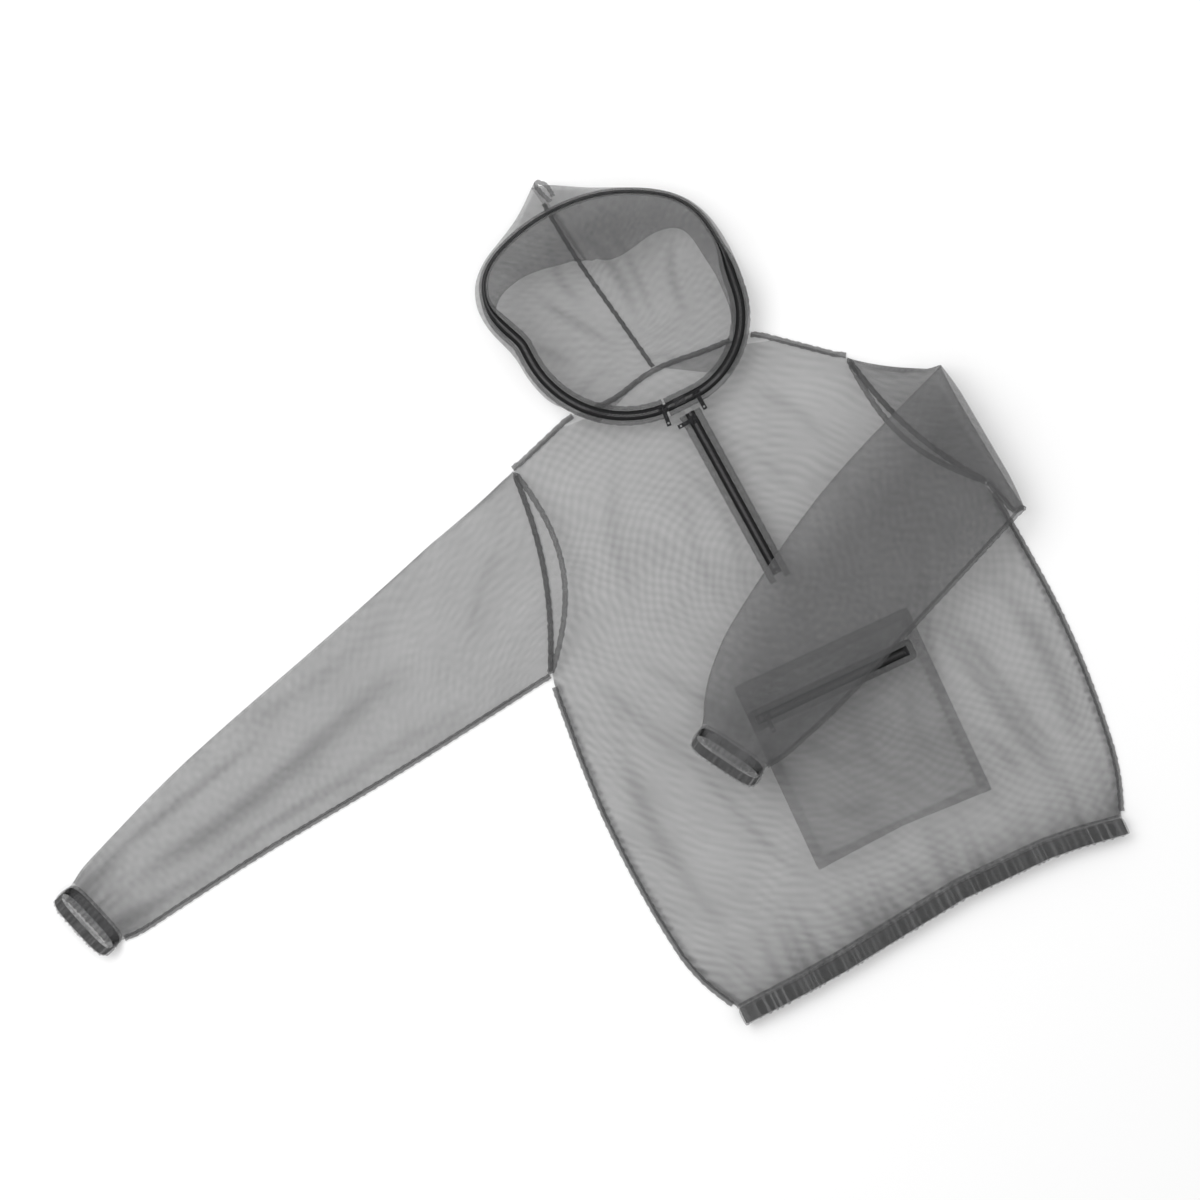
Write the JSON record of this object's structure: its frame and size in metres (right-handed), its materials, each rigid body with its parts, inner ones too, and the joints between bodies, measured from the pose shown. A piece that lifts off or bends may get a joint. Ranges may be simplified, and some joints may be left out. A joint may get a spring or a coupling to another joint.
{
  "type": "beekeeping suit",
  "caption": "Sheer net hooded pullover for beekeeping, with a zip-round face veil, half zip, zipped pouch pocket and gathered cuffs and hem, laid flat.",
  "frame": {"origin": "on the underside of the back panel, on the centre line, level with the armpits", "axes": "+Z out of the jacket's front, up from the surface it lies on; +Y towards the hood; +X towards the wearer's left"},
  "size_m": [1.1376, 0.9361, 0.0613],
  "materials": {
    "net": "fine woven polyester net, sheer, matt",
    "binding": "doubled net binding",
    "gathered_casing": "doubled net, gathered over elastic",
    "elastic": "woven elastic",
    "zip_tape": "woven polyester tape, matt black",
    "zip_coil": "nylon coil, satin black",
    "black_metal": "black lacquered zinc"
  },
  "bodies": {
    "jacket": {"front_panel": "net", "back_panel": "net", "right_sleeve_upper": "net", "left_sleeve_upper": "net", "hood_right_half": "net", "hood_left_half": "net", "veil": "net", "pocket_panel": "net", "right_side_seam": "binding", "left_side_seam": "binding", "right_shoulder_seam": "binding", "left_shoulder_seam": "binding", "right_armhole_binding": "binding", "left_armhole_binding": "binding", "hood_back_seam": "binding", "hood_crown_seam": "binding", "back_neck_seam": "binding", "hood_opening_binding": "binding", "veil_binding": "binding", "front_zip_right_facing": "binding", "front_zip_left_facing": "binding", "pocket_zip_facing": "binding", "chin_tab": "binding", "hem_casing": "gathered_casing", "hem_elastic": "elastic", "hood_zip_outer_tape": "zip_tape", "hood_zip_inner_tape": "zip_tape", "front_zip_right_tape": "zip_tape", "front_zip_left_tape": "zip_tape", "pocket_zip_lower_tape": "zip_tape", "pocket_zip_upper_tape": "zip_tape", "hood_zip_outer_coil": "zip_coil", "hood_zip_inner_coil": "zip_coil", "front_zip_right_coil": "zip_coil", "front_zip_left_coil": "zip_coil", "pocket_zip_lower_coil": "zip_coil", "pocket_zip_upper_coil": "zip_coil", "front_zip_bottom_stop": "black_metal", "pocket_zip_right_stop": "black_metal", "pocket_zip_left_stop": "black_metal"},
    "left_sleeve": {"left_sleeve_lower": "net", "left_underarm_seam": "binding", "left_cuff_casing": "gathered_casing", "left_cuff_elastic": "elastic"},
    "right_sleeve": {"right_sleeve_lower": "net", "right_underarm_seam": "binding", "right_cuff_casing": "gathered_casing", "right_cuff_elastic": "elastic"},
    "front_slider": {"front_zip_slider": "black_metal"},
    "front_pull": {"front_zip_pull": "black_metal"},
    "hood_right_slider": {"hood_zip_right_slider": "black_metal"},
    "hood_right_pull": {"hood_zip_right_pull": "black_metal"},
    "hood_left_slider": {"hood_zip_left_slider": "black_metal"},
    "hood_left_pull": {"hood_zip_left_pull": "black_metal"},
    "pocket_slider": {"pocket_zip_slider": "black_metal"},
    "pocket_pull": {"pocket_zip_pull": "black_metal"}
  },
  "joints": [
    {"name": "left_sleeve_fold", "type": "hinge", "parent": "jacket", "child": "left_sleeve", "pos_m": [0.262, 0.138, 0.0293], "axis": [-0.0866, 0.9962, 0], "range_deg": [0, 180]},
    {"name": "right_sleeve_fold", "type": "hinge", "parent": "jacket", "child": "right_sleeve", "pos_m": [-0.2965, 0.1035, 0.0215], "axis": [0.2286, 0.9735, 0], "range_deg": [0, 150]},
    {"name": "front_zip_travel", "type": "slide", "parent": "jacket", "child": "front_slider", "axis": [0.0649, -0.9979, 0], "range_m": [0, 0.179]},
    {"name": "front_pull_swing", "type": "hinge", "parent": "front_slider", "child": "front_pull", "pos_m": [-0.00742, 0.19302, 0.0269], "axis": [-0.0649, 0.9979, 0], "range_deg": [0, 180]},
    {"name": "hood_right_zip_travel", "type": "hinge", "parent": "jacket", "child": "hood_right_slider", "pos_m": [-0.024, 0.33355, 0.03856], "axis": [0, 0.1564, -0.9877], "range_deg": [0, 87]},
    {"name": "hood_right_pull_swing", "type": "hinge", "parent": "hood_right_slider", "child": "hood_right_pull", "pos_m": [-0.03274, 0.21626, 0.02687], "axis": [-0.9973, 0.0732, 0.0116], "range_deg": [0, 180]},
    {"name": "hood_left_zip_travel", "type": "hinge", "parent": "jacket", "child": "hood_left_slider", "pos_m": [0, 0.31083, 0.03496], "axis": [0, -0.1564, 0.9877], "range_deg": [0, 82]},
    {"name": "hood_left_pull_swing", "type": "hinge", "parent": "hood_left_slider", "child": "hood_left_pull", "pos_m": [0.00774, 0.21625, 0.02687], "axis": [-0.9967, -0.0805, -0.0127], "range_deg": [0, 180]},
    {"name": "pocket_zip_travel", "type": "slide", "parent": "jacket", "child": "pocket_slider", "axis": [1, 0, 0], "range_m": [0, 0.16]},
    {"name": "pocket_pull_swing", "type": "hinge", "parent": "pocket_slider", "child": "pocket_pull", "pos_m": [-0.072, -0.134, 0.0331], "axis": [-1, 0, 0], "range_deg": [0, 12]}
  ]
}
